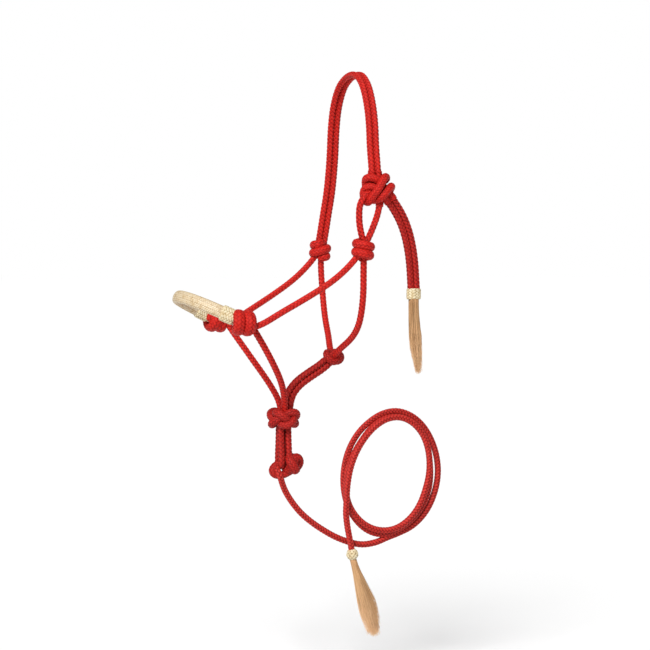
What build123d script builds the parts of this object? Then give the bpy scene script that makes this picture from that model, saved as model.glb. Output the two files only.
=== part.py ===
from build123d import *
import math
import os

# Rope halter as it hangs on a horse's head. Millimetres, +Z up, the nose towards -X and the
# horse's left side towards -Y. The origin is the middle of the crown's underside, where it
# rests on the poll. The crown is tied on the left, so the two sides differ only there.

# --- driving dimensions -------------------------------------------------------------------
CORD = 8.0                       # braided halter cord
PAIR_PITCH = 8.2                 # between two cords that lie side by side
CORE_CORD = 7.0                  # the same cord, squeezed inside the noseband's cover
CORE_GAP = 0.1                   # between the two cords inside the cover
COVER_HEIGHT = 16.6              # plaited rawhide over the noseband's two cords
COVER_WIDTH = 9.6
COVER_WALL = 1.2
COLLAR_HEIGHT = 19.0             # rawhide collar at each end of the noseband
COLLAR_WIDTH = 12.6
COLLAR_LENGTH = 12.0
COLLAR_START = 6.5               # from the nose knot's centre plane to the collar
FERRULE_HEIGHT = 14.0            # rawhide band that holds the crown's two tails
FERRULE_WALL = 1.6
FERRULE_PLAY = 0.2               # of the tails inside the ferrule
FERRULE_OVERHANG = 3.0           # of the ferrule over the tails, above the tails' ends
BUTTON_RADIUS = 8.0              # rawhide button at the end of the lead
LEAD_TASSEL = (104.0, 4.5, 11.0, 4.0, 27.0)    # length, head, widest and tip radius, lean
TAIL_TASSEL = (97.0, 6.5, 7.0, 3.0, 7.0)
TASSEL_NECK_SHARE = 0.12         # where along a tassel its bound head ends
TASSEL_WIDEST_SHARE = 0.55
DOME_GAP = 0.5                   # between a hair tassel's round head and what holds it

# --- places -------------------------------------------------------------------------------
LEFT_NOSE_KNOT = (-166, -66, -314)
LEFT_CHEEK_KNOT = (-18, -88, -223)
TIE_KNOT = (3, -84, -148)
THROAT_KNOT = (-29, 0, -362)
FIADOR_KNOT = (-96, 0, -440)
LEAD_EYE = (-110, 0, -506)
LEAD_BALL = (-82, -3, -500)
LEAD_THROUGH = [(-110, 0, -493.4), (-80, 0, -493.4)]     # strand through both heel loops
LEAD_UNDER = [(-107, -1, -510.5), (-86, -2, -510.5)]     # strand under both heel loops
TAIL_END = (53, -80, -275)
BUTTON_CENTRE = (-5, -9, -620)

# --- knots ----------------------------------------------------------------------------------
# A wrapped knot: turns, ring radius, strand radius, pitch, length of the core.
NOSE_WRAPS = (2, 10.8, 6.0, 12.4, 29)
CHEEK_WRAPS = (2, 10.2, 5.0, 9.6, 22)
EYE_WRAPS = (1, 4.8, 4.2, 0, 8.4)
NOSE_KNOT_AXIS = (-1, 0, 0.32)
CHEEK_KNOT_AXIS = (0.1, 0, 1)
LEAD_EYE_AXIS = (1, 0, 0)
# A lobed knot: reach of the bights, level of each layer, strand radius, core radius.
THROAT_LOBES = (9.0, 6.4, 5.0, 9.5)
FIADOR_LOBES = (14.6, 7.0, 6.2, 12.0)
FIADOR_NECK_RADIUS = 9.0
FIADOR_NECK_LENGTH = 14.0
TIE_CORE_RADIUS = 13.5
TIE_STRAND_RADIUS = 5.0
TIE_STRANDS = [
    [(17, -84, -133), (-11, -88, -162)], [(23, -82, -143), (2, -88, -165)],
    [(-11, -84, -131), (2, -86, -139)], [(-14, -84, -142), (0, -88, -150)],
    [(16, -76, -137), (-8, -76, -152)],
]
LEAD_STRAND_RADIUS = 3.9
BALL_RADIUS = 12.6

# --- routes of the halter's own cords, left side where there are two ---------------------------
NOSEBAND_PLANE_TILT = 25.0       # degrees that the noseband rises towards the nose
NOSEBAND_HALF = [(8, 66), (26, 64.5), (42, 58), (57, 48), (69, 33), (75.5, 12)]
CHEEK_CORD = [
    (-156, -69, -320), (-142, -70, -315), (-121, -72, -302), (-90, -78, -284),
    (-60, -84, -265), (-40, -87, -248), (-24, -88, -230),
]
CHIN_CORD = [
    (-156, -60, -317), (-147, -59, -331), (-135, -54, -349), (-123, -47, -368),
    (-112, -37.5, -386), (-104, -26, -402), (-99, -14.5, -416), (-97.5, -9, -427),
]
THROAT_CORD = [
    (-17, -88, -230), (-17, -87, -252), (-16, -84, -277), (-16, -78, -299), (-16.5, -69, -317),
    (-18, -56, -330), (-21, -41, -340), (-25, -26, -348), (-28, -11, -356),
]
THROAT_PAIR = [
    (-33, 0, -365), (-45, 0, -375), (-60, 0, -384), (-75, 0, -394), (-85, 0, -405),
    (-89.5, 0, -416), (-91.5, 0, -428),
]
CROWN_LEFT = [
    (1, -81, -136), (1, -77, -116), (1, -71, -93), (1, -62.5, -69), (1, -51, -44.5),
    (1, -36.5, -20.5), (1, -20, -3), (1, -6.5, 4.4),
]
CROWN_RIGHT = [
    (1, 6.5, 4.4), (1, 20, -3), (1, 36.5, -20.5), (1, 51, -44.5), (1, 62.5, -69), (0, 71, -93),
    (-3, 78, -120), (-7, 82, -147), (-11, 85, -175), (-14, 87, -198), (-17, 88, -216),
]
TIE_LOOP_FRONT = [
    (-17, -88, -216), (-20, -88, -205), (-22.5, -87.3, -192), (-23, -87, -180),
    (-22, -86, -168), (-17, -85, -158), (-8, -84, -151),
]
TIE_LOOP_REAR = [
    (-15, -88, -216), (-10, -88, -207), (-4, -87, -194), (1, -86, -182), (4.5, -84.5, -171),
    (6, -83, -160),
]
HEEL_LOOP_X = (-101.0, -91.0)    # front and rear heel loop
HEEL_LOOP_TOP = -456.8
HEEL_LOOP_BOTTOM = -502.0
HEEL_LOOP_LEG = [(4.4, 0), (5.8, 16), (8.2, 31)]    # half the gap between legs, depth below the top

# --- free cords: the crown's tails and the lead -------------------------------------------------
TAIL_ROUTE = [
    (21, -84, -162), (26.5, -84, -169.5), (33, -84, -180), (39.5, -83, -193), (45, -82, -209),
    (49.5, -81, -230), (52, -80, -252), (53, -80, -274),
]
LEAD_ROUTE = [
    (-101.5, -1, -520), (-97, -1, -529), (-91, 0, -540), (-83, 0, -552), (-72, 0, -565),
    (-58, 0, -577), (-42, 1, -588), (-25, 2, -597), (-7, 3, -603.5), (12, 3, -607),
    (32, 3, -606), (50, 2, -601), (66, 1, -594),
]
END_ROUTE = [
    (-9, -7, -535), (-13, -9, -550), (-14, -9, -566), (-12, -9, -583), (-9, -9, -598),
    (-6.5, -9, -611), (-5.2, -9, -618),
]
COIL_CENTRE = (52, 0, -515)
COIL_OUTER = (88.0, 68.5)        # half of the coil's long and short diameters
COIL_INNER = (66.0, 49.0)
COIL_TILT = 13.0                 # degrees that the coil's top leans back
COIL_THICKNESS = 19.0

written = []


# --- helpers ----------------------------------------------------------------------------------
def save(node, solid):
    solid.label = node
    export_step(solid, f"parts/{node}.step")
    written.append(node)


def mirrored(points):
    """The same points on the horse's other side."""
    return [(x, -y, z) for x, y, z in points]


def shifted(points, dx):
    return [(x + dx, y, z) for x, y, z in points]


def beside(points, distance):
    """A route that keeps the distance from another one, in the X-Z plane."""
    route = []
    for n, (x, y, z) in enumerate(points):
        before = points[max(n - 1, 0)]
        after = points[min(n + 1, len(points) - 1)]
        dx, dz = after[0] - before[0], after[2] - before[2]
        scale = distance / math.hypot(dx, dz)
        route.append((x + dz * scale, y, z - dx * scale))
    return route


def corner_radii(points):
    """As large an arc at each corner as its two straight runs allow."""
    vectors = [Vector(*point) for point in points]
    runs = [b - a for a, b in zip(vectors, vectors[1:])]
    radii = []
    for first, second in zip(runs, runs[1:]):
        turn = math.radians(first.get_angle(second))
        radii.append(0.45 * min(first.length, second.length) / math.tan(turn / 2))
    return radii


def cord_tube(node, points, diameter=CORD):
    """A round cord along straight runs joined by tangent arcs."""
    radii = corner_radii(points)
    path = FilletPolyline(*points, radius=radii)
    start = Plane(origin=path @ 0, z_dir=path % 0)
    tube = sweep(start * Circle(diameter / 2), path=path)
    section = math.pi * diameter ** 2 / 4
    print(f"{node}: length {path.length:.1f}, smallest radius {min(radii):.1f}, "
          f"volume / section x length {tube.volume / (section * path.length):.4f}")
    return tube


def strand(start, end, radius):
    """A short straight strand with round ends, as part of a knot."""
    a, b = Vector(*start), Vector(*end)
    axis = Plane(origin=a, z_dir=b - a)
    bar = axis * Cylinder(radius, (b - a).length, align=(Align.CENTER, Align.CENTER, Align.MIN))
    return bar + Pos(a) * Sphere(radius) + Pos(b) * Sphere(radius)


def wrap_knot(centre, axis, turns, ring_radius, strand_radius, pitch, core_length):
    """Full turns of cord side by side round an axis, on a core of the cords inside them."""
    frame = Plane(origin=centre, z_dir=axis)
    knot = frame * Cylinder(ring_radius, core_length)
    for n in range(turns):
        offset = (n - (turns - 1) / 2) * pitch
        knot += frame * Pos(0, 0, offset) * Torus(ring_radius, strand_radius)
    return knot


def lobed_knot(centre, reach, level, radius, core_radius):
    """Two crossed layers of strands whose bights stand out all round."""
    x, y, z = centre
    knot = Pos(x, y, z) * Cylinder(core_radius, 2 * (level + radius) - 1)
    for height, half_step in ((level, 0), (-level, 45)):
        for turn in (0, 90):
            angle = math.radians(turn + half_step)
            dx, dy = reach * math.cos(angle), reach * math.sin(angle)
            knot += strand((x - dx, y - dy, z + height), (x + dx, y + dy, z + height), radius)
    return knot


def noseband_frame():
    """X runs from the nose knots to the front of the noseband, Z is square to the noseband."""
    knot_x, _, knot_z = LEFT_NOSE_KNOT
    tilt = math.radians(NOSEBAND_PLANE_TILT)
    forward = (-math.cos(tilt), 0, math.sin(tilt))
    return Plane(origin=(knot_x, 0, knot_z), x_dir=forward, z_dir=(math.sin(tilt), 0, math.cos(tilt)))


def noseband_route(height=0.0):
    """The noseband's centre line from the left nose knot to the right one."""
    frame = noseband_frame()
    right = [(u, -y) for u, y in reversed(NOSEBAND_HALF)]
    local = [Vector(u, y, height) for u, y in NOSEBAND_HALF + right]
    return [tuple(frame.from_local_coords(point)) for point in local]


def oval_sweep(points, height, width):
    """A flat-sided oval section along the noseband, its height square to the noseband's plane."""
    path = FilletPolyline(*points, radius=corner_radii(points))
    across = noseband_frame().z_dir
    section = Plane(origin=path @ 0, x_dir=across, z_dir=path % 0)
    return sweep(section * SlotOverall(height, width), path=path)


# --- the halter's own pieces --------------------------------------------------------------------
def make_noseband():
    route = noseband_route()
    outside = oval_sweep(route, COVER_HEIGHT, COVER_WIDTH)
    inside = oval_sweep(route, COVER_HEIGHT - 2 * COVER_WALL, COVER_WIDTH - 2 * COVER_WALL)
    save("noseband_cover", outside - inside)
    for name, side in (("upper", 1), ("lower", -1)):
        core = noseband_route(side * (CORE_CORD + CORE_GAP) / 2)
        save(f"noseband_{name}_core", cord_tube(f"noseband_{name}_core", core, CORE_CORD))


def make_collars():
    """A rawhide band over each end of the noseband's cover, against the nose knot."""
    frame = noseband_frame()
    half = [Vector(u, y, 0) for u, y in NOSEBAND_HALF[:2]]
    for side, sign in (("left", 1), ("right", -1)):
        ends = [frame.from_local_coords(Vector(p.X, sign * p.Y, 0)) for p in half]
        along = (ends[1] - ends[0]).normalized()
        base = ends[0] + along * COLLAR_START
        section = Plane(origin=base, x_dir=frame.z_dir, z_dir=along)
        blank = extrude(section * SlotOverall(COLLAR_HEIGHT, COLLAR_WIDTH), amount=COLLAR_LENGTH)
        hole = extrude(section * SlotOverall(COVER_HEIGHT, COVER_WIDTH), amount=COLLAR_LENGTH)
        save(f"{side}_noseband_collar", blank - hole)


def make_nose_knots():
    for side, sign in (("left", 1), ("right", -1)):
        x, y, z = LEFT_NOSE_KNOT
        knot = wrap_knot((x, sign * y, z), NOSE_KNOT_AXIS, *NOSE_WRAPS)
        save(f"{side}_nose_knot", knot)


def make_cheek_knots():
    for side, sign in (("left", 1), ("right", -1)):
        x, y, z = LEFT_CHEEK_KNOT
        knot = wrap_knot((x, sign * y, z), CHEEK_KNOT_AXIS, *CHEEK_WRAPS)
        save(f"{side}_cheek_knot", knot)


def make_side_cords():
    for name, route in (("cheek", CHEEK_CORD), ("chin", CHIN_CORD), ("throat", THROAT_CORD)):
        for side, points in (("left", route), ("right", mirrored(route))):
            node = f"{side}_{name}_cord"
            save(node, cord_tube(node, points))


def make_throat_and_fiador():
    save("throat_knot", lobed_knot(THROAT_KNOT, *THROAT_LOBES))
    for name, distance in (("upper", -PAIR_PITCH / 2), ("lower", PAIR_PITCH / 2)):
        node = f"fiador_{name}_cord"
        save(node, cord_tube(node, beside(THROAT_PAIR, distance)))
    x, y, z = FIADOR_KNOT
    knot = lobed_knot(FIADOR_KNOT, *FIADOR_LOBES)
    neck = Pos(x + 1, y, z + FIADOR_NECK_LENGTH) * Cylinder(FIADOR_NECK_RADIUS, FIADOR_NECK_LENGTH)
    save("fiador_knot", knot + neck)


def make_crown():
    """Two cords side by side from the tie knot over the poll to the right cheek knot."""
    route = CROWN_LEFT + CROWN_RIGHT
    for name, dx in (("front", -PAIR_PITCH / 2), ("rear", PAIR_PITCH / 2)):
        node = f"crown_{name}_cord"
        save(node, cord_tube(node, shifted(route, dx)))


def make_tie():
    """The loop above the left cheek knot and the sheet bend that ties the crown to it."""
    save("tie_loop_front_leg", cord_tube("tie_loop_front_leg", TIE_LOOP_FRONT))
    save("tie_loop_rear_leg", cord_tube("tie_loop_rear_leg", TIE_LOOP_REAR))
    knot = Pos(*TIE_KNOT) * Sphere(TIE_CORE_RADIUS)
    for start, end in TIE_STRANDS:
        knot += strand(start, end, TIE_STRAND_RADIUS)
    save("tie_knot", knot)


# --- what hangs from the halter -------------------------------------------------------------------
def hair_tassel(holder, size):
    """A bundle of horsehair that hangs just below the point holder and leans along X."""
    whole_length, head_radius, widest_radius, tip_radius, lean = size
    x, y, z = holder[0], holder[1], holder[2] - DOME_GAP - head_radius
    length = whole_length - head_radius
    stations = [(TASSEL_NECK_SHARE, head_radius), (TASSEL_WIDEST_SHARE, widest_radius),
                (1.0, tip_radius)]
    dome = Pos(x, y, z) * Sphere(head_radius)
    section = [Plane(origin=(x, y, z)) * Circle(head_radius)]
    for share, radius in stations:
        centre = (x + lean * share ** 1.5, y, z - length * share)
        section.append(Plane(origin=centre) * Circle(radius))
    return dome + loft(section)


def make_tails():
    """The crown's two loose ends past the tie knot, their ferrule and their tassel."""
    for name, distance in (("front", PAIR_PITCH / 2), ("rear", -PAIR_PITCH / 2)):
        node = f"tail_{name}_cord"
        save(node, cord_tube(node, beside(TAIL_ROUTE, distance)))
    x, y, z = TAIL_END
    ferrule_bottom = z + FERRULE_OVERHANG - FERRULE_HEIGHT
    place = Pos(x, y, ferrule_bottom + FERRULE_HEIGHT / 2)
    inner = (PAIR_PITCH + CORD + FERRULE_PLAY, CORD + FERRULE_PLAY)
    outer = (inner[0] + 2 * FERRULE_WALL, inner[1] + 2 * FERRULE_WALL)
    blank = extrude(SlotOverall(*outer), amount=FERRULE_HEIGHT / 2, both=True)
    hole = extrude(SlotOverall(*inner), amount=FERRULE_HEIGHT / 2, both=True)
    save("tail_ferrule", place * (blank - hole))
    save("tail_tassel", hair_tassel((x, y, ferrule_bottom), TAIL_TASSEL))


def heel_loop_route(x):
    """Down one leg, round the bottom and up the other."""
    leg = [(x, -half_gap, HEEL_LOOP_TOP - depth) for half_gap, depth in HEEL_LOOP_LEG]
    leg.append((x, leg[-1][1], HEEL_LOOP_BOTTOM))
    return leg + mirrored(leg)[::-1]


def make_heel_loops():
    for name, x in zip(("front", "rear"), HEEL_LOOP_X):
        node = f"{name}_heel_loop"
        save(node, cord_tube(node, heel_loop_route(x)))


def make_lead_fastening():
    """The lead's eye and its ball knot, and the two strands between them that pass through
    the heel loops and under them."""
    save("lead_eye", wrap_knot(LEAD_EYE, LEAD_EYE_AXIS, *EYE_WRAPS))
    save("lead_ball_knot", Pos(*LEAD_BALL) * Sphere(BALL_RADIUS))
    save("lead_through_strand", strand(*LEAD_THROUGH, LEAD_STRAND_RADIUS))
    save("lead_under_strand", strand(*LEAD_UNDER, LEAD_STRAND_RADIUS))


def make_lead():
    save("lead_cord", cord_tube("lead_cord", LEAD_ROUTE))
    plane = Plane(origin=COIL_CENTRE, x_dir=(0, 0, 1), z_dir=(0, -1, 0))
    outer = plane * Rot(0, 0, COIL_TILT) * Ellipse(*COIL_OUTER)
    inner = plane * Rot(0, 0, COIL_TILT) * Ellipse(*COIL_INNER)
    ring = extrude(outer - inner, amount=COIL_THICKNESS / 2, both=True)
    save("lead_coil", ring)
    save("lead_end_cord", cord_tube("lead_end_cord", END_ROUTE))
    save("lead_button", Pos(*BUTTON_CENTRE) * Sphere(BUTTON_RADIUS))
    x, y, z = BUTTON_CENTRE
    save("lead_tassel", hair_tassel((x + 1, y, z - BUTTON_RADIUS), LEAD_TASSEL))


os.makedirs("parts", exist_ok=True)
make_noseband()
make_collars()
make_nose_knots()
make_cheek_knots()
make_side_cords()
make_throat_and_fiador()
make_crown()
make_tie()
make_tails()
make_heel_loops()
make_lead_fastening()
make_lead()
print(len(written), "nodes")
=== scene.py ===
import collections
import math

import bpy
import numpy as np
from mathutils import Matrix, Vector


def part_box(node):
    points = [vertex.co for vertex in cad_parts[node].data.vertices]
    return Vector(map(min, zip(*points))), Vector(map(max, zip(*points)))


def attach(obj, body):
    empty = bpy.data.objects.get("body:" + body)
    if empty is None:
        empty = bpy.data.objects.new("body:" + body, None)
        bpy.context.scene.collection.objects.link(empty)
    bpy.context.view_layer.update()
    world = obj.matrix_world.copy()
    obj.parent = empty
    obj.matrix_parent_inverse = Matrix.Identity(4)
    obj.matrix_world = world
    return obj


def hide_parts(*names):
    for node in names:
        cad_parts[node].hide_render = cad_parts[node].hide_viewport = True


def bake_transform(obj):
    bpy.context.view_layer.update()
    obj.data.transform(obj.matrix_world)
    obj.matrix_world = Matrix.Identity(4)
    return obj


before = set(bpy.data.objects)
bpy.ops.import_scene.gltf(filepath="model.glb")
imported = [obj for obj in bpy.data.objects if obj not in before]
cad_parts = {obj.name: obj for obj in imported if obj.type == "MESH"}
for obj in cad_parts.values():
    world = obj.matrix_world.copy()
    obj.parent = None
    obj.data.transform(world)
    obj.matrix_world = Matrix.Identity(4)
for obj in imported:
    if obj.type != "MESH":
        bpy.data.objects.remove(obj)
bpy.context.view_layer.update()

MM = 0.001

# --- sizes, in millimetres ----------------------------------------------------------------------
CORD_RADIUS = 4.25               # to the crowns of its braid
PAIR_PITCH = 8.1                 # between two cords that lie side by side
PICK = 5.2                       # along the cord, from one braid strand to the next
BRAID_STRANDS = 4                # strands of the braid in each direction
BRAID_DEPTH = 0.9                # from a strand's crown down to the crevice beside it

COVER_HEIGHT = 16.6              # plaited rawhide over the noseband's two cords
COVER_WIDTH = 9.6
COLLAR_HEIGHT = 20.6             # rawhide collar at each end of the noseband
COLLAR_WIDTH = 13.4
COLLAR_LENGTH = 18.0
COLLAR_START = 6.5               # from the end of the noseband, inside the nose knot
BUTTON_RADIUS = 8.0              # rawhide button at the end of the lead
NOSE_KNOT_FORWARD = 2.5          # the nose knots lie this much nearer the nose than in the CAD

# How fine the meshes and lines are.
WRAP_POINTS = 48                 # on each turn of a wrapped knot's line
WOVEN_POINTS = 72                # on each turn of a woven knot's line
CORE_SIDES = 24                  # around a knot's core
CORE_RINGS = 15                  # from pole to pole of it
HAIR_STATIONS = 15               # along each hair

# --- routes and places, in millimetres -----------------------------------------------------------
# They are the part's own, with points moved by up to 16 mm where the photograph shows a cord
# elsewhere.
NOSEBAND_PLANE_TILT = 25.0
LEFT_NOSE_KNOT = (-166, -66, -314)
LEFT_CHEEK_KNOT = (-18, -88, -223)
THROAT_KNOT = (-29, 0, -362)
FIADOR_KNOT = (-96, 0, -440)
LEAD_BALL = (-85.5, -4, -499)
LEAD_EYE_ROUTE = [
    (-84, -1, -498), (-91, 1, -498), (-100, 2, -498.5), (-107.5, 1, -501.5), (-112, -1, -507),
    (-109.5, -3, -512.5), (-102, -2, -514), (-94, -2, -512.5), (-86, -2, -508),
]
TAIL_END = (53, -80, -275)
BUTTON_CENTRE = (-5, -9, -620)

NOSEBAND_HALF = [(8, 66), (26, 64.5), (42, 58), (57, 48), (69, 33), (75.5, 12)]
CHEEK_CORD = [
    (-156, -69, -320), (-142, -70, -315), (-121, -72, -302), (-90, -78, -284),
    (-60, -84, -265), (-40, -87, -248), (-24, -88, -230),
]
CHIN_CORD = [
    (-156, -60, -317), (-147, -59, -331), (-135, -54, -349), (-123, -47, -368),
    (-112, -37.5, -386), (-104, -26, -402), (-99, -14.5, -416), (-97.5, -9, -427),
]
THROAT_CORD = [
    (-17, -88, -230), (-17, -87, -252), (-16, -84, -277), (-16, -78, -299), (-16.5, -69, -317),
    (-18, -56, -330), (-21, -41, -340), (-25, -26, -348), (-28, -11, -356),
]
THROAT_PAIR = [
    (-33, 0, -365), (-45, 0, -375), (-60, 0, -384), (-75, 0, -394), (-85, 0, -405),
    (-89.5, 0, -416), (-91.5, 0, -428),
]
CROWN_LEFT = [
    (1, -81, -136), (1, -77, -116), (1, -71, -93), (2.5, -64.5, -66), (3.5, -54, -40),
    (3, -40, -14.5), (2, -22, 0.5), (1, -6.5, 4.6),
]
CROWN_RIGHT = [
    (0, 6.5, 4.6), (-1, 23, 2), (-4, 41, -8), (-6, 57, -32), (-6, 67, -62), (-5, 73, -91),
    (-5, 79, -119), (-7, 82, -147), (-11, 85, -175), (-14, 87, -198), (-17, 88, -216),
]
TIE_LOOP_FRONT = [
    (-17, -88, -216), (-20, -88, -205), (-22.5, -87.3, -192), (-23, -87, -180),
    (-22, -86, -168), (-17, -85, -158), (-8, -84, -151),
]
TIE_LOOP_REAR = [
    (-15, -88, -216), (-10, -88, -207), (-4, -87, -194), (1, -86, -182), (4.5, -84.5, -171),
    (6, -83, -160),
]
HEEL_LOOP_X = (-101.0, -91.0)    # front, rear
HEEL_LOOP_TOP = -456.8
HEEL_LOOP_BOTTOM = -502.0
HEEL_LOOP_LEG = [(4, -12), (4.4, 0), (5.8, 16), (8.2, 31)]    # half of the legs' spacing, and depth
TAIL_ROUTE = [
    (21, -84, -162), (26.5, -84, -169.5), (33, -84, -180), (39.5, -83, -193), (45, -82, -209),
    (49.5, -81, -230), (52, -80, -252), (53, -80, -274),
]
LEAD_ROUTE = [
    (-107, 0, -503), (-105, -6, -508), (-102.5, -7, -515), (-97, -2, -529), (-91, 0, -540),
    (-83, 0, -552), (-72, 0, -565), (-58, 0, -577), (-42, 1, -588), (-25, 2, -598),
    (-7, 3, -605.5), (12, 3, -610.5), (32, 4, -608.5), (48, 5, -602.5),
]
END_ROUTE = [
    (-13, -9, -550), (-14, -9, -566), (-12, -9, -583), (-9, -9, -598),
    (-6.5, -9, -611), (-5.2, -9, -618),
]

# --- where cords run on inside the knots --------------------------------------------------------
NOSE_CORE_UPPER = (-166, -68, -320)
NOSE_CORE_LOWER = (-166, -62, -316)
CHEEK_CORE_FRONT = (-20, -88, -222)
CHEEK_CORE_REAR = (-16, -88, -222)
CHIN_CORE = [(-96.5, -6.5, -438), (-96, -5, -446)]
THROAT_CORE = (-30, -4, -362)
PAIR_CORE_TOP = (-29, 0, -363)
PAIR_CORE_LEVEL = -442           # of the pair's other end, in the fiador knot
TIE_FRONT_STRAND = [
    (-3.1, -79, -124), (-3.1, -75, -137), (-1, -71, -154), (8, -69, -163), (18, -71, -160),
    (25, -75, -147), (24, -84, -134), (18, -90, -140), (9, -93, -152), (-1, -90, -166),
    (-5, -79, -168), (-5, -71, -156), (-7, -70, -141), (-11, -75, -126), (-10, -85, -125),
    (-2, -89, -130), (5, -86, -138), (12, -82, -147), (18.8, -84, -152.1), (24.3, -84, -159.6),
]
TIE_REAR_STRAND = [
    (5.1, -79, -124), (5.5, -75, -138), (9, -71, -149), (15, -71, -150), (19, -74, -142),
    (18, -79, -125), (14, -88, -122), (8, -94, -133), (1, -96, -145), (-7, -93, -156),
    (-12, -87, -163), (-13, -77, -160), (-13, -72, -148), (-15, -78, -138), (-13, -87, -138),
    (-6, -90, -143), (3, -86, -150), (12.2, -84, -156.9), (17.7, -84, -164.4),
]
TIE_BIGHT = [
    (-17, -85, -158), (-8, -84, -151), (-2, -81, -144), (6, -79, -143), (11, -80, -150),
    (8, -82, -157), (5, -84, -168),
]

# --- the lead's coil: three loose oval turns -----------------------------------------------------
COIL_CENTRE = (51.5, -514.5)     # X and Z
COIL_HALF_HEIGHT = 83.0
COIL_HALF_WIDTH = 68.3
COIL_TILT = 13.0                 # degrees that the coil's top leans back
COIL_POINTS_PER_TURN = 20
# Degrees from the bottom of the coil, the share of its full size there, and the place in Y.
# The shares are fitted: they were corrected by differences between the photograph's coil and the
# render's, measured by a script every 10 degrees. Neighbouring turns sink into each other.
COIL_SIZES = [
    (24, 1.045, 5), (40, 1.065, 5), (60, 1.068, 5), (77, 1.046, 5), (90, 1.03, 5), (100, 1.013, 5),
    (110, 0.991, 5), (125, 0.955, 5), (160, 0.956, 5.5), (180, 0.98, 6), (200, 0.968, 6),
    (220, 0.938, 6), (250, 0.933, 6), (270, 0.929, 6), (290, 0.938, 5.5), (340, 1.0, 4),
    (360, 1.045, 3), (380, 0.985, 2), (405, 0.94, 0), (425, 0.905, 0), (440, 0.874, 0),
    (450, 0.84, 0), (470, 0.797, 0), (490, 0.83, 0), (520, 0.87, 0.5), (540, 0.888, 1.5),
    (562, 0.882, 1.5), (580, 0.852, 1.5), (597, 0.812, 1.5), (612, 0.812, 1), (632, 0.87, 0.5),
    (655, 0.93, 0), (670, 0.956, 0), (700, 0.96, -1), (720, 0.958, -2), (745, 0.938, -3),
    (770, 0.862, -5), (785, 0.813, -5), (800, 0.77, -5), (820, 0.772, -5), (840, 0.778, -5.5),
    (880, 0.85, -6.5), (908, 0.892, -6.5), (926, 0.88, -6.5), (945, 0.845, -6.5), (962, 0.83, -7),
    (980, 0.842, -7.5), (1000, 0.885, -8.5), (1012, 0.926, -9),
]

# --- weaves ----------------------------------------------------------------------------------------
# pick: along the piece from one strand to the next. strands: in each direction. depth: of the
# crevice between strands. samples: mesh points on each strand. contrast: how dark the painted
# shade in a crevice gets.
Weave = collections.namedtuple("Weave", "pick strands depth samples contrast")
CORD_WEAVE = Weave(PICK, BRAID_STRANDS, BRAID_DEPTH, 9, 0.84)
LEAD_WEAVE = Weave(4.4, 4, 0.7, 7, 0.85)
KNOT_WEAVE = Weave(3.6, 8, 0.6, 6, 0.85)
RAWHIDE_WEAVE = Weave(2.8, 16, 0.5, 6, 1.0)
COLLAR_WEAVE = Weave(3.6, 10, 0.9, 8, 1.0)
BUTTON_WEAVE = Weave(1.2, 4, 0.1, 4, 0.6)


# --- curves --------------------------------------------------------------------------------------
def mirrored(points):
    """The same points on the horse's other side."""
    return [(x, -y, z) for x, y, z in points]


def shifted(points, dx):
    """The same points moved along X."""
    return [(x + dx, y, z) for x, y, z in points]


def beside(points, distance):
    """A route that keeps the distance from another one, in the X-Z plane."""
    route = []
    for n, (x, y, z) in enumerate(points):
        before = points[max(n - 1, 0)]
        after = points[min(n + 1, len(points) - 1)]
        dx, dz = after[0] - before[0], after[2] - before[2]
        scale = distance / math.hypot(dx, dz)
        route.append((x + dz * scale, y, z - dx * scale))
    return route


def coil_route():
    """Points of the coil's turns, each turn smaller than the last or in front of it."""
    angles, sizes, depths = zip(*COIL_SIZES)
    count = round((angles[-1] - angles[0]) / 360 * COIL_POINTS_PER_TURN)
    tilt = math.radians(COIL_TILT)
    route = []
    for angle in np.linspace(angles[0], angles[-1], count + 1):
        size = np.interp(angle, angles, sizes)
        across = size * COIL_HALF_WIDTH * math.sin(math.radians(angle))
        up = -size * COIL_HALF_HEIGHT * math.cos(math.radians(angle))
        route.append((COIL_CENTRE[0] + across * math.cos(tilt) + up * math.sin(tilt),
                      np.interp(angle, angles, depths),
                      COIL_CENTRE[1] - across * math.sin(tilt) + up * math.cos(tilt)))
    return route


def smooth_line(points, resolution=24):
    """Points along the NURBS spline whose control points are the route, in metres."""
    curve = bpy.data.curves.new("route", "CURVE")
    curve.dimensions = "3D"
    curve.resolution_u = resolution
    spline = curve.splines.new("NURBS")
    spline.points.add(len(points) - 1)
    for control, place in zip(spline.points, points):
        control.co = (place[0] * MM, place[1] * MM, place[2] * MM, 1.0)
    spline.order_u = 3
    spline.use_endpoint_u = True
    holder = bpy.data.objects.new("route", curve)
    mesh = bpy.data.meshes.new_from_object(holder)
    line = np.array([vertex.co for vertex in mesh.vertices])
    bpy.data.objects.remove(holder)
    bpy.data.curves.remove(curve)
    bpy.data.meshes.remove(mesh)
    return line


def distances_along(line):
    """How far along the line each of its points is."""
    steps = np.linalg.norm(np.diff(line, axis=0), axis=1)
    return np.concatenate([[0.0], np.cumsum(steps)])


def evenly_spaced(line, step=None, count=None):
    """The same line with points a step apart, or with that many points."""
    along = distances_along(line)
    count = count or max(2, round(along[-1] / step) + 1)
    wanted = np.linspace(0, along[-1], count)
    return np.stack([np.interp(wanted, along, line[:, k]) for k in range(3)], axis=1)


def unit(vectors):
    return vectors / np.linalg.norm(vectors, axis=-1, keepdims=True)


def ease(share):
    """A smooth step from 0 to 1, clamped outside."""
    share = np.clip(share, 0, 1)
    return share ** 2 * (3 - 2 * share)


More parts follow.
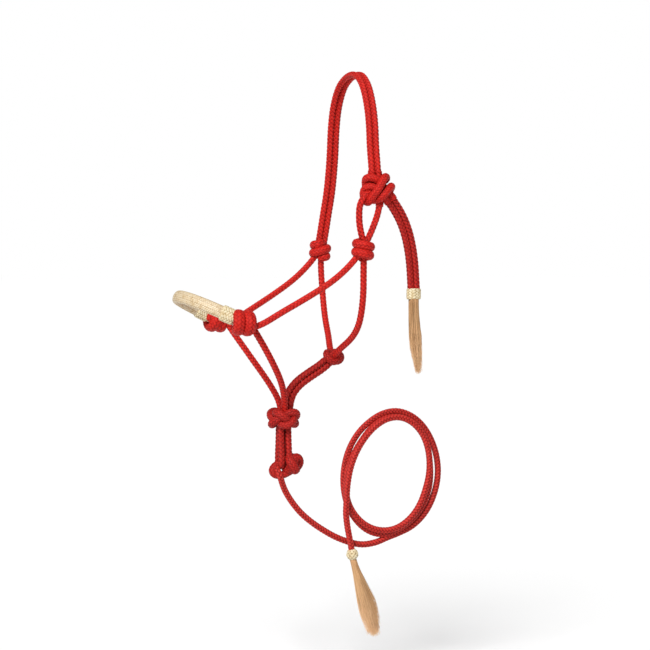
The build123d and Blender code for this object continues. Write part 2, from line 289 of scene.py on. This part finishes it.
def moving_frames(line, outward=None):
    """Side and normal at every point: without twist, or with the normal held outward."""
    tangent = unit(np.gradient(line, axis=0))
    if outward is not None:
        normal = unit(outward - tangent * (outward * tangent).sum(axis=1, keepdims=True))
        return np.cross(tangent, normal), normal
    side = np.zeros_like(line)
    current = np.array([0.3, 0.9, 0.2])
    for n, direction in enumerate(tangent):
        current = unit(current - direction * current.dot(direction))
        side[n] = current
    return side, np.cross(tangent, side)


def settle(routes, thickness, rounds=140, step=2.0, pull=0.2, push=0.35):
    """Knotted strands drawn tight but kept a cord's thickness apart. Their ends stay in place.
    pull: how much of a bend each round takes out. push: how much of an overlap."""
    strands = [evenly_spaced(smooth_line(route) / MM, step=step) for route in routes]
    counts = [len(strand) for strand in strands]
    owner = np.repeat(np.arange(len(strands)), counts)
    place = np.concatenate([np.arange(count) for count in counts])
    neighbours = int(1.6 * thickness / step)
    close = (owner[:, None] == owner) & (np.abs(place[:, None] - place) <= neighbours)
    for _ in range(rounds):
        points = np.concatenate(strands)
        apart = points[:, None] - points[None]
        distance = np.linalg.norm(apart, axis=2) + 1e-6
        overlap = np.where(close, 0.0, np.clip(thickness - distance, 0, None))
        moves = np.clip((apart / distance[..., None] * overlap[..., None]).sum(axis=1) * push, -1, 1)
        start = 0
        for n, strand in enumerate(strands):
            move = moves[start:start + counts[n]]
            start += counts[n]
            strand[2:-2] += move[2:-2] + pull * (strand[1:-3] + strand[3:-1] - 2 * strand[2:-2])
            strands[n] = evenly_spaced(strand, count=counts[n])
    return [strand * MM for strand in strands]


def wrapped_line(centre, axis, back, turns, ring, pitch, slant, bulge=0.0):
    """Turns of cord side by side round an axis. They step along it behind the knot, where their
    ends go in towards the axis. slant: the share of the step that they make evenly, all the way
    round. bulge: how much they are drawn together behind the knot and spread in front."""
    axis = unit(np.array(axis, float))
    back = np.array(back, float)
    back = unit(back - axis * back.dot(axis))
    across = np.cross(axis, back)
    turn = np.linspace(0, turns, turns * WRAP_POINTS + 1)
    phase = turn + 0.5
    stepped = np.floor(phase) + ease((phase % 1 - 0.3) / 0.4) - 0.5
    angle = 2 * np.pi * turn
    offset = pitch * (slant * turn + (1 - slant) * stepped - turns / 2)
    offset = offset * (1 - bulge * np.cos(angle))
    ends = np.clip(np.minimum(turn, turns - turn) / 0.16, 0, 1)
    reach = ring * (0.35 + 0.65 * np.sin(ends * math.pi / 2))
    line = (np.array(centre) + back * (reach * np.cos(angle))[:, None]
            + across * (reach * np.sin(angle))[:, None] + axis * offset[:, None])
    outward = line - np.array(centre) - axis * offset[:, None]
    return line * MM, outward


def turks_head(centre, leads, bights, radius, latitude, rise, turn=0.0, height=1.0):
    """One strand that goes round a ball as many times as there are leads, over and under itself.
    It starts and ends in one place, where it is under another turn. Angles are in degrees."""
    under = 1.5 * math.pi / ((leads - 1) * bights)
    t = np.linspace(0, 2 * math.pi, WOVEN_POINTS * leads + 1) + under
    around = leads * t + math.radians(turn)
    tilt = math.radians(latitude) * np.cos(bights * t)
    reach = radius + rise * np.sin((leads - 1) * bights * t)
    outward = np.stack([np.cos(tilt) * np.cos(around), np.cos(tilt) * np.sin(around),
                        np.sin(tilt)], axis=1)
    line = np.array(centre) + outward * reach[:, None] * (1, 1, height)
    return line * MM, outward


# --- braided surfaces ------------------------------------------------------------------------------
def braid_relief(a, b):
    """Height from 0 to 1 and place across the upper strand, over two strands and under two."""
    across_a, across_b = a % 1.0, b % 1.0
    turn = (np.floor(a) - np.floor(b)) % 4
    a_on_top = turn < 2
    along_a = (1 - turn + across_b) / 2
    along_b = (turn - 2 + across_a) / 2
    across = np.where(a_on_top, across_a, across_b)
    along = np.clip(np.where(a_on_top, along_a, along_b), 0, 1)
    crown = 1 - 0.6 * (2 * across - 1) ** 4
    dive = 1 - 0.95 * (2 * along - 1) ** 6
    return crown * dive, across


def even_angles(count, wide, thick):
    """Angles that divide an ellipse's edge into equal parts."""
    fine = np.linspace(0, 2 * np.pi, 721)
    edge = np.hypot(wide * np.diff(np.cos(fine)), thick * np.diff(np.sin(fine)))
    along = np.concatenate([[0.0], np.cumsum(edge)])
    return np.interp(np.arange(count) / count * along[-1], along, fine)


def braided_rings(line, wide=CORD_RADIUS, thick=CORD_RADIUS, outward=None, swell=None,
                  weave=CORD_WEAVE):
    """Rings of points round a line in metres, as a braided tube with an oval section whose
    half sizes are wide and thick. swell scales them along the tube."""
    line_steps = distances_along(line)
    points = evenly_spaced(line, step=weave.pick * MM / weave.samples)
    along = distances_along(points)
    if outward is not None:
        outward = np.stack([np.interp(along, line_steps, outward[:, k]) for k in range(3)], axis=1)
    side, normal = moving_frames(points, outward)
    count = weave.strands * weave.samples
    around = weave.strands * np.arange(count)[None, :] / count
    passed = along[:, None] / (weave.pick * MM)
    relief, across = braid_relief(around + passed, passed - around)
    angle = even_angles(count, wide, thick)
    scale = np.ones(len(points)) if swell is None else swell(along / along[-1])
    normal_u, normal_v = np.cos(angle) / wide, np.sin(angle) / thick
    length = np.hypot(normal_u, normal_v)
    sunk = weave.depth * (1 - relief)
    u = (wide * np.cos(angle) * scale[:, None] - normal_u / length * sunk) * MM
    v = (thick * np.sin(angle) * scale[:, None] - normal_v / length * sunk) * MM
    rings = points[:, None, :] + side[:, None, :] * u[..., None] + normal[:, None, :] * v[..., None]
    # relief picks the colour on the materials' ramps: painted shade in the crevices, a painted
    # highlight on the crowns.
    return rings, {"relief": 1 - weave.contrast * (1 - relief), "across": across}


def tube_faces(count, sides):
    """Quads between rings and a fan over each end, as corner lists."""
    ring, corner = np.meshgrid(np.arange(count - 1), np.arange(sides), indexing="ij")
    following = (corner + 1) % sides
    quads = np.stack([ring * sides + corner, ring * sides + following,
                      (ring + 1) * sides + following, (ring + 1) * sides + corner], axis=-1)
    corners = np.arange(sides)
    after = (corners + 1) % sides
    last = (count - 1) * sides
    first_fan = np.stack([np.full(sides, count * sides), after, corners], axis=1)
    last_fan = np.stack([np.full(sides, count * sides + 1), last + corners, last + after], axis=1)
    return quads.reshape(-1, 4), np.concatenate([first_fan, last_fan])


def new_mesh(name, points, loops, sizes):
    """A smooth mesh. loops: the corners of all its faces in a row. sizes: corners of each face."""
    mesh = bpy.data.meshes.new(name)
    mesh.vertices.add(len(points))
    mesh.vertices.foreach_set("co", points.astype(np.float32).ravel())
    mesh.loops.add(len(loops))
    mesh.loops.foreach_set("vertex_index", loops.astype(np.int32))
    mesh.polygons.add(len(sizes))
    starts = np.concatenate([[0], np.cumsum(sizes)[:-1]])
    mesh.polygons.foreach_set("loop_start", starts.astype(np.int32))
    mesh.polygons.foreach_set("use_smooth", np.ones(len(sizes), bool))
    mesh.update(calc_edges=True)
    return mesh


def mesh_piece(name, tubes):
    """One object made of closed tubes. A tube is its rings of points and their attributes."""
    points, loops, sizes = [], [], []
    base = 0
    layers = {label: [] for label in tubes[0][1]}
    for rings, attributes in tubes:
        count, sides = rings.shape[:2]
        quads, fans = tube_faces(count, sides)
        points += [rings.reshape(-1, 3), rings[0].mean(axis=0)[None], rings[-1].mean(axis=0)[None]]
        loops += [quads.ravel() + base, fans.ravel() + base]
        sizes += [np.full(len(quads), 4), np.full(len(fans), 3)]
        for label, values in attributes.items():
            layers[label] += [values.ravel(), [values[0].mean(), values[-1].mean()]]
        base += count * sides + 2
    mesh = new_mesh(name, np.concatenate(points), np.concatenate(loops), np.concatenate(sizes))
    for label, values in layers.items():
        layer = mesh.attributes.new(label, "FLOAT", "POINT")
        layer.data.foreach_set("value", np.concatenate(values).astype(np.float32))
    piece = bpy.data.objects.new(name, mesh)
    bpy.context.scene.collection.objects.link(piece)
    return piece


def mirrored_line(line):
    """The same line on the horse's other side."""
    return line * (1, -1, 1)


# --- materials -------------------------------------------------------------------------------------
def material(name, roughness, sheen=0.0, specular=0.5):
    """A new material with its node tree and its shader."""
    made = bpy.data.materials.new(name)
    made.use_nodes = True
    shader = made.node_tree.nodes["Principled BSDF"]
    shader.inputs["Roughness"].default_value = roughness
    shader.inputs["Sheen Weight"].default_value = sheen
    shader.inputs["Specular IOR Level"].default_value = specular
    return made, made.node_tree, shader


def colour_ramp(tree, factor, stops):
    ramp = tree.nodes.new("ShaderNodeValToRGB")
    elements = ramp.color_ramp.elements
    while len(elements) < len(stops):
        elements.new(0.5)
    for element, (position, colour) in zip(elements, stops):
        element.position = position
        element.color = (*colour, 1.0)
    tree.links.new(factor, ramp.inputs["Fac"])
    return ramp.outputs["Color"]


def attribute(tree, name):
    node = tree.nodes.new("ShaderNodeAttribute")
    node.attribute_name = name
    return node.outputs["Fac"]


def noise(tree, scale, detail):
    coordinates = tree.nodes.new("ShaderNodeTexCoord")
    node = tree.nodes.new("ShaderNodeTexNoise")
    node.inputs["Scale"].default_value = scale
    node.inputs["Detail"].default_value = detail
    tree.links.new(coordinates.outputs["Object"], node.inputs["Vector"])
    return node.outputs["Fac"]


def multiplied(tree, first, second):
    node = tree.nodes.new("ShaderNodeMix")
    node.data_type = "RGBA"
    node.blend_type = "MULTIPLY"
    node.inputs["Factor"].default_value = 1.0
    tree.links.new(first, node.inputs[6])
    tree.links.new(second, node.inputs[7])
    return node.outputs[2]


def waves(tree, value, count):
    """A sine that goes through that many periods while the value goes from 0 to 1."""
    stretch = tree.nodes.new("ShaderNodeMath")
    stretch.operation = "MULTIPLY"
    stretch.inputs[1].default_value = 2 * math.pi * count
    tree.links.new(value, stretch.inputs[0])
    sine = tree.nodes.new("ShaderNodeMath")
    sine.operation = "SINE"
    tree.links.new(stretch.outputs[0], sine.inputs[0])
    return sine.outputs[0]


def bump(tree, shader, height, distance, strength):
    node = tree.nodes.new("ShaderNodeBump")
    node.inputs["Strength"].default_value = strength
    node.inputs["Distance"].default_value = distance
    tree.links.new(height, node.inputs["Height"])
    tree.links.new(node.outputs["Normal"], shader.inputs["Normal"])


def cord_material(name, deep, body, crown):
    """Braided polyester: painted shade in the crevices, a painted highlight on the strand crowns, and
    fine yarns along them.
    """
    made, tree, shader = material(name, roughness=0.5, sheen=0.02, specular=0.14)
    # The relief ramp is painted shade in the crevices and a painted highlight on the strand crowns.
    base = colour_ramp(tree, attribute(tree, "relief"), [(0.3, deep), (0.62, body), (1.0, crown)])
    patches = colour_ramp(tree, noise(tree, scale=260.0, detail=3.0),
                          [(0.35, (0.78, 0.7, 0.7)), (0.65, (1.0, 1.0, 1.0))])
    tree.links.new(multiplied(tree, base, patches), shader.inputs["Base Color"])
    yarns = waves(tree, attribute(tree, "across"), count=8)
    bump(tree, shader, yarns, distance=0.00012, strength=0.35)
    return made


def rawhide_material(name, deep, body, crown):
    """Plaited rawhide: hard translucent strips, uneven in colour, with fibres and small flecks."""
    made, tree, shader = material(name, roughness=0.42, specular=0.45)
    # The relief ramp is painted shade between the strips and a painted highlight on their crowns.
    base = colour_ramp(tree, attribute(tree, "relief"), [(0.1, deep), (0.5, body), (1.0, crown)])
    stops = [(0.3, (0.74, 0.62, 0.46)), (0.5, (0.98, 0.94, 0.88)), (0.66, (1.0, 1.0, 1.0))]
    flecks = colour_ramp(tree, noise(tree, scale=240.0, detail=4.0), stops)
    tree.links.new(multiplied(tree, base, flecks), shader.inputs["Base Color"])
    fibres = noise(tree, scale=1600.0, detail=3.0)
    bump(tree, shader, fibres, distance=0.0001, strength=0.4)
    return made


def hair_material(name, dark, light, tip):
    """Horsehair: every hair has a shade of its own, darker at its root and lighter at its tip."""
    made, tree, shader = material(name, roughness=0.42, specular=0.15)
    base = colour_ramp(tree, attribute(tree, "shade"), [(0.0, dark), (1.0, light)])
    along = colour_ramp(tree, attribute(tree, "along"),
                        [(0.0, (0.78, 0.72, 0.68)), (0.35, (1.0, 1.0, 1.0)), (1.0, tip)])
    tree.links.new(multiplied(tree, base, along), shader.inputs["Base Color"])
    bump(tree, shader, noise(tree, scale=3000.0, detail=2.0), distance=0.00005, strength=0.3)
    return made


def finish_piece(piece, body, look, slot, *nodes):
    """Its material, the CAD nodes that it stands for, and its body. slot: not used."""
    piece.data.materials.append(look)
    if nodes:
        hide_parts(*nodes)
    if body:
        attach(piece, body)
    return piece


# --- camera, light and floor, in metres and degrees --------------------------------------------------
CAMERA_AZIMUTH = -18.0
CAMERA_ELEVATION = 2.0
CAMERA_DISTANCE = 2.35
VIEW_WIDTH = 0.845               # seen across the frame at that distance
AIM = (-0.0393, 0.001, -0.3203)  # the point in the middle of the view
FLOOR_LEVEL = -0.80
FLOOR_HALF = 60.0                # wide enough to reach the horizon
SEEN_SKY = 1.0                   # the studio's white, where the camera looks past the object
SKY_LIGHT = 0.33                 # the light that it gives
SUN_STRENGTH = 3.7
SUN_SOFTNESS = 28.0              # degrees across
SUN_FROM = (-0.75, -1.0, 1.05)


def point_at(holder, place, aim):
    holder.location = place
    direction = Vector(aim) - Vector(place)
    holder.rotation_euler = direction.to_track_quat("-Z", "Y").to_euler()
    bpy.context.scene.collection.objects.link(holder)


def make_camera():
    azimuth, elevation = math.radians(CAMERA_AZIMUTH), math.radians(CAMERA_ELEVATION)
    back = Vector((math.sin(azimuth) * math.cos(elevation),
                   -math.cos(azimuth) * math.cos(elevation), math.sin(elevation)))
    data = bpy.data.cameras.new("camera")
    data.lens = data.sensor_width * CAMERA_DISTANCE / VIEW_WIDTH
    camera = bpy.data.objects.new("camera", data)
    point_at(camera, Vector(AIM) + back * CAMERA_DISTANCE, AIM)
    bpy.context.scene.camera = camera


def make_world():
    world = bpy.data.worlds.new("studio")
    world.use_nodes = True
    tree = world.node_tree
    seen = tree.nodes["Background"]
    seen.inputs["Color"].default_value = (1.0, 1.0, 1.0, 1.0)
    seen.inputs["Strength"].default_value = SEEN_SKY
    light = tree.nodes.new("ShaderNodeBackground")
    light.inputs["Color"].default_value = (1.0, 1.0, 1.0, 1.0)
    light.inputs["Strength"].default_value = SKY_LIGHT
    path = tree.nodes.new("ShaderNodeLightPath")
    mix = tree.nodes.new("ShaderNodeMixShader")
    tree.links.new(path.outputs["Is Camera Ray"], mix.inputs["Fac"])
    tree.links.new(light.outputs[0], mix.inputs[1])
    tree.links.new(seen.outputs[0], mix.inputs[2])
    tree.links.new(mix.outputs[0], tree.nodes["World Output"].inputs["Surface"])
    bpy.context.scene.world = world


def make_sun():
    data = bpy.data.lights.new("soft_sun", "SUN")
    data.energy = SUN_STRENGTH
    data.angle = math.radians(SUN_SOFTNESS)
    point_at(bpy.data.objects.new("soft_sun", data), SUN_FROM, (0, 0, 0))


def make_floor():
    half, level = FLOOR_HALF, FLOOR_LEVEL
    corners = [(-half, -half, level), (half, -half, level), (half, half, level), (-half, half, level)]
    mesh = bpy.data.meshes.new("floor")
    mesh.from_pydata(corners, [], [(0, 1, 2, 3)])
    floor = bpy.data.objects.new("floor", mesh)
    bpy.context.scene.collection.objects.link(floor)
    look, _, shader = material("floor_paint", roughness=0.9)
    shader.inputs["Base Color"].default_value = (0.97, 0.97, 0.97, 1.0)
    mesh.materials.append(look)


make_camera()
make_world()
make_sun()
make_floor()
bpy.context.scene.view_settings.view_transform = "Standard"

HALTER_RED = cord_material("halter_red", deep=(0.09, 0.001, 0.001),
                           body=(0.41, 0.006, 0.003), crown=(0.58, 0.018, 0.011))
# This darker copy of halter_red, about seven tenths as bright, is painted shade: the shade that the
# horse's head would cast on the tails, the throat pair, and the knots and loops under the chin.
PAINTED_SHADE_RED = cord_material("painted_shade_red", deep=(0.06, 0.001, 0.001),
                         body=(0.29, 0.006, 0.004), crown=(0.42, 0.016, 0.011))
LEAD_RED = cord_material("lead_red", deep=(0.07, 0.001, 0.001),
                         body=(0.36, 0.012, 0.008), crown=(0.52, 0.032, 0.024))
NOSEBAND_TAN = rawhide_material("noseband_tan", deep=(0.17, 0.10, 0.05),
                                body=(0.47, 0.36, 0.22), crown=(0.66, 0.57, 0.41))
BAND_CREAM = rawhide_material("band_cream", deep=(0.20, 0.13, 0.05),
                              body=(0.53, 0.44, 0.25), crown=(0.67, 0.60, 0.43))
TAIL_HAIR = hair_material("tail_hair", dark=(0.30, 0.15, 0.058),
                          light=(0.79, 0.51, 0.275), tip=(1.3, 1.35, 1.45))
LEAD_HAIR = hair_material("lead_hair", dark=(0.35, 0.17, 0.065),
                          light=(0.84, 0.56, 0.31), tip=(1.3, 1.35, 1.45))


# --- the lead and the crown's tails: free cords ----------------------------------------------------
def make_lead(button, tassel):
    line = smooth_line(LEAD_ROUTE + coil_route() + END_ROUTE)
    rope = mesh_piece("lead_rope", [braided_rings(line, weave=LEAD_WEAVE)])
    finish_piece(rope, None, LEAD_RED, "lead_cord", "lead_cord", "lead_coil", "lead_end_cord")
    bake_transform(rope)


def make_tails(ferrule, tassel):
    for name, distance in (("front", PAIR_PITCH / 2), ("rear", -PAIR_PITCH / 2)):
        line = smooth_line(beside(TAIL_ROUTE, distance))
        rope = mesh_piece(f"tail_rope_{name}", [braided_rings(line)])
        finish_piece(rope, None, PAINTED_SHADE_RED, "halter_cord", f"tail_{name}_cord")
        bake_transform(rope)


# --- rawhide: noseband, collars, ferrule and button ----------------------------------------------
def noseband_axes():
    """Forward in the noseband's tilted plane, and square to that plane."""
    tilt = math.radians(NOSEBAND_PLANE_TILT)
    forward = np.array([-math.cos(tilt), 0, math.sin(tilt)])
    across = np.array([math.sin(tilt), 0, math.cos(tilt)])
    return forward, across


def noseband_line():
    """The noseband's route from its left end round the nose to its right end."""
    forward, _ = noseband_axes()
    origin = np.array([LEFT_NOSE_KNOT[0], 0, LEFT_NOSE_KNOT[2]])
    half = [tuple(origin + forward * u - np.array([0, y, 0])) for u, y in NOSEBAND_HALF]
    return half + mirrored(half)[::-1]


def barrel(share):
    """A band's rounded edges: its full size, but for its first and last sixth."""
    edge = np.clip(np.minimum(share, 1 - share) / 0.16, 0, 1)
    return 0.84 + 0.16 * np.sqrt(1 - (1 - edge) ** 2)


def make_noseband():
    _, across = noseband_axes()
    line = smooth_line(noseband_line())
    inward = np.gradient(line, axis=0)
    outward = np.cross(inward, across)
    band = braided_rings(line, COVER_HEIGHT / 2, COVER_WIDTH / 2, outward, weave=RAWHIDE_WEAVE)
    finish_piece(mesh_piece("rawhide_noseband", [band]), "halter", NOSEBAND_TAN, "rawhide",
                 "noseband_cover")
    spots = distances_along(line) / MM
    for side, wanted in (("left", spots), ("right", spots[-1] - spots)):
        chosen = (wanted > COLLAR_START) & (wanted < COLLAR_START + COLLAR_LENGTH)
        collar = braided_rings(line[chosen], COLLAR_HEIGHT / 2, COLLAR_WIDTH / 2, outward[chosen],
                               swell=barrel, weave=COLLAR_WEAVE)
        finish_piece(mesh_piece(f"rawhide_collar_{side}", [collar]), "halter", BAND_CREAM,
                     "rawhide", f"{side}_noseband_collar")


def make_ferrule():
    low, high = (np.array(corner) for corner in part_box("tail_ferrule"))
    middle = (low + high) / 2
    line = np.stack([np.array([middle[0], middle[1], z]) for z in np.linspace(high[2], low[2], 24)])
    outward = np.tile([0.0, -1.0, 0.0], (len(line), 1))
    band = braided_rings(line, (high[0] - low[0]) / 2 / MM, (high[1] - low[1]) / 2 / MM, outward,
                         swell=barrel, weave=COLLAR_WEAVE)
    return finish_piece(mesh_piece("rawhide_ferrule", [band]), "crown_tails", BAND_CREAM, "rawhide",
                        "tail_ferrule")


def solid_ball(centre, radius, relief=0.0):
    """A closed core inside a knot, so that no gap between its strands shows through."""
    tilt = np.linspace(-math.pi / 2, math.pi / 2, CORE_RINGS + 2)[1:-1]
    around = np.linspace(0, 2 * math.pi, CORE_SIDES, endpoint=False)
    rings = np.stack([np.outer(np.cos(tilt), np.cos(around)), np.outer(np.cos(tilt), np.sin(around)),
                      np.outer(np.sin(tilt), np.ones(CORE_SIDES))], axis=-1) * radius
    flat = np.ones(rings.shape[:2])
    # A relief of 0 gives the core the ramp's darkest colour, the painted shade of the crevices, seen
    # through gaps between strands.
    return (rings + np.array(centre)) * MM, {"relief": flat * relief, "across": flat}


def make_button():
    line, outward = turks_head(BUTTON_CENTRE, leads=9, bights=8, radius=BUTTON_RADIUS - 0.8,
                               latitude=74, rise=0.35)
    strip = braided_rings(line, wide=1.25, thick=0.6, outward=outward, weave=BUTTON_WEAVE)
    core = solid_ball(BUTTON_CENTRE, BUTTON_RADIUS - 1.1, relief=0.4)
    return finish_piece(mesh_piece("rawhide_button", [core, strip]), "lead", BAND_CREAM, "rawhide",
                        "lead_button")


# --- horsehair, in millimetres -----------------------------------------------------------------------
HAIR_RADIUS = 0.3                # at its root; it tapers to a quarter of that
HAIR_LOCKS = 17                  # around a tassel
HAIR_SWAY = 0.5                  # how far a hair waves to each side
HAIR_SCATTER = 1.1               # how far its tip strays


def hair_rings(line, stations):
    """Rings of four points round a hair."""
    side, normal = moving_frames(line)
    size = HAIR_RADIUS * (1 - 0.75 * stations) * MM
    corners = np.radians([0, 90, 180, 270])
    return (line[:, None] + side[:, None] * (size[:, None] * np.cos(corners))[..., None]
            + normal[:, None] * (size[:, None] * np.sin(corners))[..., None])


def hair_piece(name, root, length, radii, lean, bend, hairs, seed):
    """Hairs from a round root. radii: the bundle's at its root, where it is widest, and at its
    tip. It leans along X, by the share of its length to the power of bend. Locks of hair are
    lighter and longer than the hair between them."""
    draw = np.random.RandomState(seed)
    stations = np.linspace(0, 1, HAIR_STATIONS)
    swelling = radii[0] + (radii[1] - radii[0]) * ease(stations / 0.8)
    spread = swelling + (radii[2] - radii[1]) * ease((stations - 0.7) / 0.3)
    tubes = []
    for _ in range(hairs):
        angle = draw.uniform(0, 2 * math.pi)
        ring = draw.uniform(0, 1) ** 0.68
        lock = 0.5 + 0.5 * math.sin(HAIR_LOCKS * angle + 9 * ring)
        own_length = length * (1 - 0.03 * ring - 0.11 * (1 - lock) - 0.2 * draw.uniform(0, 1) ** 2.2)
        shade = 0.6 * lock + 0.4 * draw.uniform(0, 1)
        phase = draw.uniform(0, 2 * math.pi)
        swing = draw.normal(0, 1, 2)
        sway = HAIR_SWAY * stations * np.sin(3 * math.pi * stations + phase)
        x = root[0] + lean * stations ** bend + ring * spread * math.cos(angle) + sway
        x = x + swing[0] * HAIR_SCATTER * stations ** 2
        y = root[1] + ring * spread * math.sin(angle) + sway * 0.6
        y = y + swing[1] * HAIR_SCATTER * stations ** 2
        line = np.stack([x, y, root[2] - own_length * stations], axis=1) * MM
        rings = hair_rings(line, stations)
        ones = np.ones(rings.shape[:2])
        tubes.append((rings, {"shade": ones * shade, "along": ones * stations[:, None]}))
    return mesh_piece(name, tubes)


def make_tail_hair():
    low, high = (np.array(corner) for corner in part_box("tail_tassel"))
    root = (TAIL_END[0], TAIL_END[1], high[2] / MM + 1.0)
    length = (high[2] - low[2]) / MM
    tassel = hair_piece("horsehair_tail", root, length, radii=(6.4, 7.2, 3.6), lean=6.5, bend=2.2,
                        hairs=1000, seed=3)
    finish_piece(tassel, None, TAIL_HAIR, "horsehair", "tail_tassel")
    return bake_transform(tassel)


def make_lead_hair():
    low, high = (np.array(corner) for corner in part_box("lead_tassel"))
    root = (BUTTON_CENTRE[0] + 1, BUTTON_CENTRE[1], high[2] / MM + 2.0)
    length = (high[2] - low[2]) / MM + 1
    tassel = hair_piece("horsehair_lead", root, length, radii=(4.3, 11.4, 8.0), lean=29.0,
                        bend=1.05, hairs=1300, seed=5)
    finish_piece(tassel, None, LEAD_HAIR, "horsehair", "lead_tassel")
    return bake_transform(tassel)


# --- the halter's own cords --------------------------------------------------------------------------
def cord_piece(name, line, node, look=HALTER_RED):
    rope = mesh_piece(name, [braided_rings(line)])
    return finish_piece(rope, "halter", look, "halter_cord", node)


def make_side_cords():
    """Cheek, chin and throat cords of both sides. Their last points are inside the knots."""
    cheek = [NOSE_CORE_UPPER] + CHEEK_CORD + [CHEEK_CORE_FRONT]
    chin = [NOSE_CORE_LOWER] + CHIN_CORD + CHIN_CORE
    throat = [CHEEK_CORE_REAR] + THROAT_CORD + [THROAT_CORE]
    for name, route in (("cheek", cheek), ("chin", chin), ("throat", throat)):
        line = smooth_line(route)
        cord_piece(f"{name}_rope_left", line, f"left_{name}_cord")
        cord_piece(f"{name}_rope_right", mirrored_line(line), f"right_{name}_cord")


def make_crown():
    route = CROWN_LEFT + CROWN_RIGHT
    for name, dx in (("front", -PAIR_PITCH / 2), ("rear", PAIR_PITCH / 2)):
        cord_piece(f"crown_rope_{name}", smooth_line(shifted(route, dx)), f"crown_{name}_cord")


def make_throat_pair():
    for name, distance in (("upper", -PAIR_PITCH / 2), ("lower", PAIR_PITCH / 2)):
        route = beside(THROAT_PAIR, distance)
        line = smooth_line([PAIR_CORE_TOP] + route + [(route[-1][0] - 1, 0, PAIR_CORE_LEVEL)])
        cord_piece(f"fiador_rope_{name}", line, f"fiador_{name}_cord", PAINTED_SHADE_RED)


def make_tie_loop():
    cord_piece("tie_loop_rope_front", smooth_line(TIE_LOOP_FRONT), "tie_loop_front_leg")
    cord_piece("tie_loop_rope_rear", smooth_line(TIE_LOOP_REAR), "tie_loop_rear_leg")


# --- knots -------------------------------------------------------------------------------------------
def knot_piece(name, tubes, node, look=HALTER_RED, body="halter", slot="halter_cord"):
    return finish_piece(mesh_piece(name, tubes), body, look, slot, node)


def make_wrapped_knots():
    """The nose knots and the cheek knots: two turns round the cords that pass through them."""
    nose_centre = np.array(LEFT_NOSE_KNOT) - (NOSE_KNOT_FORWARD, 0, 0)
    nose = wrapped_line(nose_centre, axis=(-1, 0, 0.08), back=(0, 1, 0), turns=2, ring=10.8,
                        pitch=11.6, slant=0.1, bulge=0.25)
    cheek = wrapped_line(LEFT_CHEEK_KNOT, axis=(0.1, 0, 1), back=(0, 1, 0), turns=2, ring=9.8,
                         pitch=-10.6, slant=0.5)
    for name, (line, outward), wide, thick in (("nose", nose, 7.8, 5.8), ("cheek", cheek, 5.8, 5.0)):
        left = braided_rings(line, wide, thick, outward, weave=KNOT_WEAVE)
        knot_piece(f"{name}_knot_rope_left", [left], f"left_{name}_knot")
        right = braided_rings(mirrored_line(line), wide, thick, mirrored_line(outward),
                              weave=KNOT_WEAVE)
        knot_piece(f"{name}_knot_rope_right", [right], f"right_{name}_knot")


def make_tie_knot():
    """A doubled sheet bend: the crown's two cords go round the loop's bight and under themselves."""
    strands = settle([TIE_FRONT_STRAND, TIE_REAR_STRAND, TIE_BIGHT], thickness=8.6, pull=0.14)
    ropes = [braided_rings(line, wide=5.1, thick=5.1, weave=KNOT_WEAVE) for line in strands]
    knot_piece("tie_knot_rope", ropes, "tie_knot")


def make_throat_knot():
    """A strand woven round a core, as are the fiador knot and the lead's ball."""
    line, outward = turks_head(THROAT_KNOT, leads=2, bights=3, radius=8.6, latitude=42, rise=2.2,
                               turn=35)
    rope = braided_rings(line, wide=4.8, thick=4.5, outward=outward, weave=KNOT_WEAVE)
    core = solid_ball(THROAT_KNOT, radius=6.0)
    knot_piece("throat_knot_rope", [core, rope], "throat_knot", PAINTED_SHADE_RED)


def make_fiador_knot():
    line, outward = turks_head(FIADOR_KNOT, leads=3, bights=4, radius=15.0, latitude=30, rise=3.4,
                               turn=22.5)
    rope = braided_rings(line, wide=5.2, thick=4.8, outward=outward, weave=KNOT_WEAVE)
    core = solid_ball(FIADOR_KNOT, radius=9.0)
    knot_piece("fiador_knot_rope", [core, rope], "fiador_knot", PAINTED_SHADE_RED)


# --- what hangs under the fiador knot -------------------------------------------------------------
def make_heel_loops():
    """Two loops that hang from inside the fiador knot, each down one leg and up the other."""
    for name, x in zip(("front", "rear"), HEEL_LOOP_X):
        leg = [(x, -half_gap, HEEL_LOOP_TOP - depth) for half_gap, depth in HEEL_LOOP_LEG]
        leg.append((x, leg[-1][1], HEEL_LOOP_BOTTOM))
        line = smooth_line(leg + mirrored(leg)[::-1])
        rope = mesh_piece(f"heel_loop_rope_{name}", [braided_rings(line)])
        finish_piece(rope, None, PAINTED_SHADE_RED, "halter_cord", f"{name}_heel_loop")
        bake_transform(rope)


def make_lead_fastening():
    """The lead's end: a bight through the heel loops and under them, and the ball that stops it."""
    bight = braided_rings(smooth_line(LEAD_EYE_ROUTE), wide=5.0, thick=5.0, weave=KNOT_WEAVE)
    eye = knot_piece("lead_eye_rope", [bight], "lead_eye", PAINTED_SHADE_RED, "heel_loops", "lead_cord")
    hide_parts("lead_through_strand", "lead_under_strand")
    line, outward = turks_head(LEAD_BALL, leads=2, bights=3, radius=8.8, latitude=55, rise=2.6,
                               turn=75, height=1.15)
    rope = braided_rings(line, wide=6.0, thick=4.6, outward=outward, weave=KNOT_WEAVE)
    core = solid_ball(LEAD_BALL, radius=8.0)
    knot_piece("lead_ball_rope", [core, rope], "lead_ball_knot", PAINTED_SHADE_RED, "heel_loops", "lead_cord")


def paint_noseband_cords():
    """The CAD's own two cords inside the noseband's rawhide take the halter's red."""
    for core in ("noseband_upper_core", "noseband_lower_core"):
        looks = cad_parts[core].data.materials
        looks.clear()
        looks.append(HALTER_RED)


make_lead(make_button(), make_lead_hair())
make_tails(make_ferrule(), make_tail_hair())
make_noseband()
make_side_cords()
make_crown()
make_throat_pair()
make_tie_loop()
make_wrapped_knots()
make_tie_knot()
make_throat_knot()
make_fiador_knot()
make_heel_loops()
make_lead_fastening()
paint_noseband_cords()
